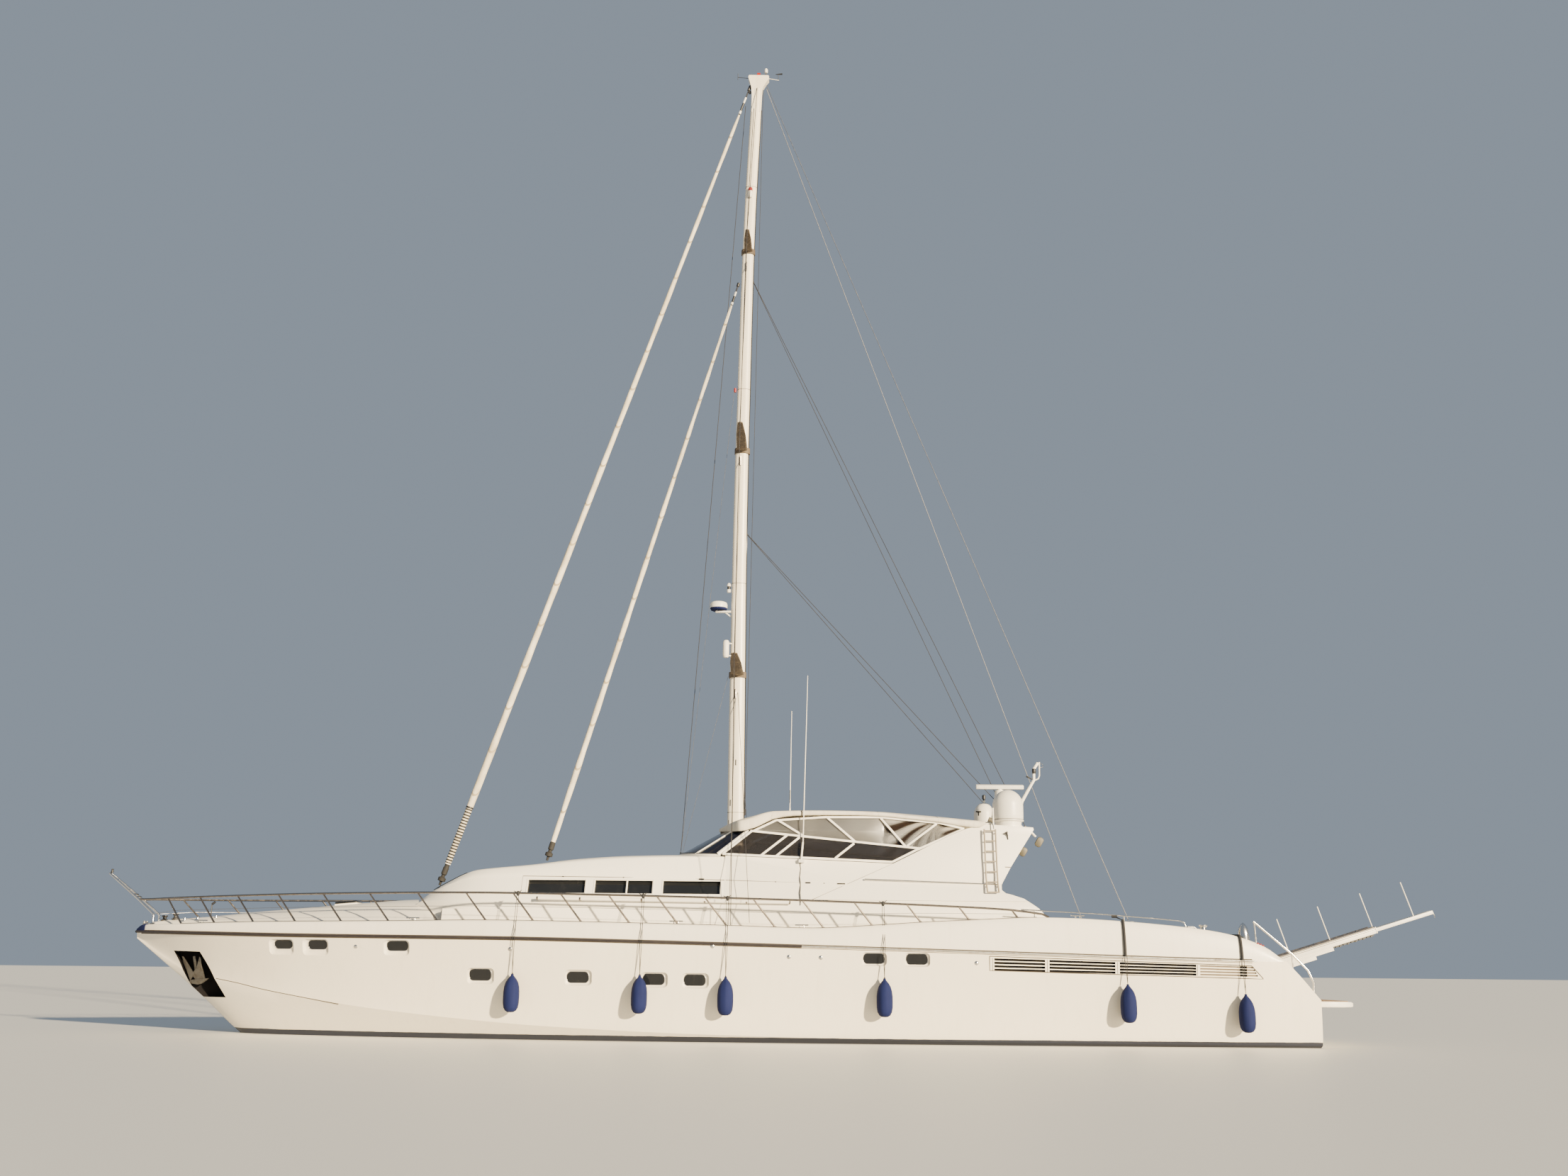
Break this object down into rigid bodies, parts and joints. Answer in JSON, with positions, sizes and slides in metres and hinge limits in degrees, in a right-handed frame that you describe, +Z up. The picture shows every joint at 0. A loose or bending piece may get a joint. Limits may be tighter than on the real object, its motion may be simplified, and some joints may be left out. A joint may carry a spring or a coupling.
{
  "type": "motor sailing yacht",
  "caption": "Motor sailing yacht with a raked bow, low saloon house, helm deck under a hardtop, raked arch and one mast with furled headsails.",
  "frame": {"origin": "on the waterline, on the centreline amidships", "axes": "+X to the bow, +Y to port, +Z up"},
  "size_m": [34.0407, 6.8869, 30.57],
  "materials": {
    "white_gelcoat": "glossy white gelcoat, slightly warm",
    "antifouling": "matt dark antifouling paint",
    "dark_glass": "dark tinted glass",
    "clear_vinyl": "clear soft vinyl, slightly wrinkled and silvery",
    "console_moulding": "cream satin moulding",
    "varnished_wood": "varnished brown wood",
    "black_plastic": "satin black",
    "cream_upholstery": "cream stitched vinyl",
    "white_plastic": "satin white moulding",
    "painted_spar": "satin cream paint",
    "sailcloth": "cream woven sailcloth",
    "wire_rope": "stranded stainless wire",
    "polished_steel": "polished stainless steel",
    "navy_cover": "matt navy cloth cover",
    "bronze": "cast bronze"
  },
  "bodies": {
    "yacht": {"hull": "white_gelcoat", "ballast_keel": "antifouling", "swim_platform": "white_gelcoat", "deck": "white_gelcoat", "saloon_house": "white_gelcoat", "side_wall_port": "white_gelcoat", "side_wall_starboard": "white_gelcoat", "arch_top": "white_gelcoat", "hardtop": "white_gelcoat", "window_frame_port": "white_gelcoat", "window_frame_starboard": "white_gelcoat", "windscreen": "dark_glass", "lower_glass_port": "dark_glass", "lower_glass_starboard": "dark_glass", "upper_clear_port": "clear_vinyl", "upper_clear_starboard": "clear_vinyl", "saloon_glass_port": "dark_glass", "saloon_glass_starboard": "dark_glass", "front_glass": "dark_glass", "helm_console": "console_moulding", "helm_seat": "cream_upholstery", "helm_settee": "cream_upholstery", "cockpit_sofa": "cream_upholstery", "arch_ladder": "polished_steel", "satellite_dome_port": "white_plastic", "satellite_dome_starboard": "white_plastic", "mast": "painted_spar", "spreader_lower": "painted_spar", "spreader_middle": "painted_spar", "spreader_upper": "painted_spar", "mast_radome": "white_plastic", "cap_shroud_port": "wire_rope", "cap_shroud_starboard": "wire_rope", "backstay_port": "wire_rope", "backstay_starboard": "wire_rope", "guard_rail_port": "polished_steel", "guard_rail_starboard": "polished_steel", "anchor_port": "polished_steel", "anchor_starboard": "polished_steel", "fender_1": "navy_cover", "fender_2": "navy_cover", "fender_3": "navy_cover", "fender_4": "navy_cover", "fender_5": "navy_cover", "fender_6": "navy_cover"},
    "propeller_port": {"propeller_port": "bronze"},
    "propeller_starboard": {"propeller_starboard": "bronze"},
    "rudder_port": {"rudder_port": "antifouling"},
    "rudder_starboard": {"rudder_starboard": "antifouling"},
    "steering_wheel": {"steering_wheel": "black_plastic"},
    "companionway_door": {"companionway_door": "varnished_wood"},
    "sunpad_hatch": {"sunpad_hatch": "cream_upholstery"},
    "foredeck_hatch": {"foredeck_hatch": "dark_glass"},
    "radar_scanner": {"radar_scanner": "white_plastic"},
    "genoa_roll": {"genoa_roll": "sailcloth"},
    "staysail_roll": {"staysail_roll": "sailcloth"},
    "passerelle_outer": {"passerelle_outer": "white_plastic"},
    "passerelle_inner": {"passerelle_inner": "white_plastic"}
  },
  "joints": [
    {"name": "propeller_port_spin", "type": "hinge", "parent": "yacht", "child": "propeller_port", "pos_m": [-12.75, 1.35, -1.06], "axis": [0.9925, 0, 0.1219], "continuous": true},
    {"name": "propeller_starboard_spin", "type": "hinge", "parent": "yacht", "child": "propeller_starboard", "pos_m": [-12.75, -1.35, -1.06], "axis": [0.9925, 0, 0.1219], "continuous": true},
    {"name": "rudder_port_turn", "type": "hinge", "parent": "yacht", "child": "rudder_port", "pos_m": [-13.65, 1.35, -0.6], "axis": [0, 0, 1], "range_deg": [-35, 35]},
    {"name": "rudder_starboard_turn", "type": "hinge", "parent": "yacht", "child": "rudder_starboard", "pos_m": [-13.65, -1.35, -0.6], "axis": [0, 0, 1], "range_deg": [-35, 35]},
    {"name": "steering_wheel_turn", "type": "hinge", "parent": "yacht", "child": "steering_wheel", "pos_m": [-0.16, -0.85, 4.02], "axis": [0.9063, 0, -0.4226], "range_deg": [-540, 540]},
    {"name": "companionway_door_swing", "type": "hinge", "parent": "yacht", "child": "companionway_door", "pos_m": [-0.005, 1.226, 3.6], "axis": [0, 0, -1], "range_deg": [0, 100]},
    {"name": "sunpad_hatch_lift", "type": "hinge", "parent": "yacht", "child": "sunpad_hatch", "pos_m": [-10.5, 0, 2.43], "axis": [0, 1, 0], "range_deg": [0, 40]},
    {"name": "foredeck_hatch_lift", "type": "hinge", "parent": "yacht", "child": "foredeck_hatch", "pos_m": [9.99, 0, 3.226], "axis": [0, 1, 0], "range_deg": [0, 95]},
    {"name": "radar_scanner_spin", "type": "hinge", "parent": "yacht", "child": "radar_scanner", "pos_m": [-7.27, 0, 6.36], "axis": [0, 0, 1], "continuous": true},
    {"name": "genoa_furl", "type": "hinge", "parent": "yacht", "child": "genoa_roll", "pos_m": [7.43, 0, 3.62], "axis": [-0.3102, 0, 0.9507], "continuous": true},
    {"name": "staysail_furl", "type": "hinge", "parent": "yacht", "child": "staysail_roll", "pos_m": [4.66, 0, 4.28], "axis": [-0.275, 0, 0.9615], "continuous": true},
    {"name": "passerelle_lift", "type": "hinge", "parent": "yacht", "child": "passerelle_outer", "pos_m": [-13.55, 0.75, 1.84], "axis": [0, 1, 0], "range_deg": [-12, 45]},
    {"name": "passerelle_extend", "type": "slide", "parent": "passerelle_outer", "child": "passerelle_inner", "axis": [0.9563, 0, -0.2924], "range_m": [0, 1]}
  ],
  "couplings": [
    {"joint": "rudder_starboard_turn", "follows": "rudder_port_turn", "ratio": 1},
    {"joint": "steering_wheel_turn", "follows": "rudder_port_turn", "ratio": 15.4}
  ]
}
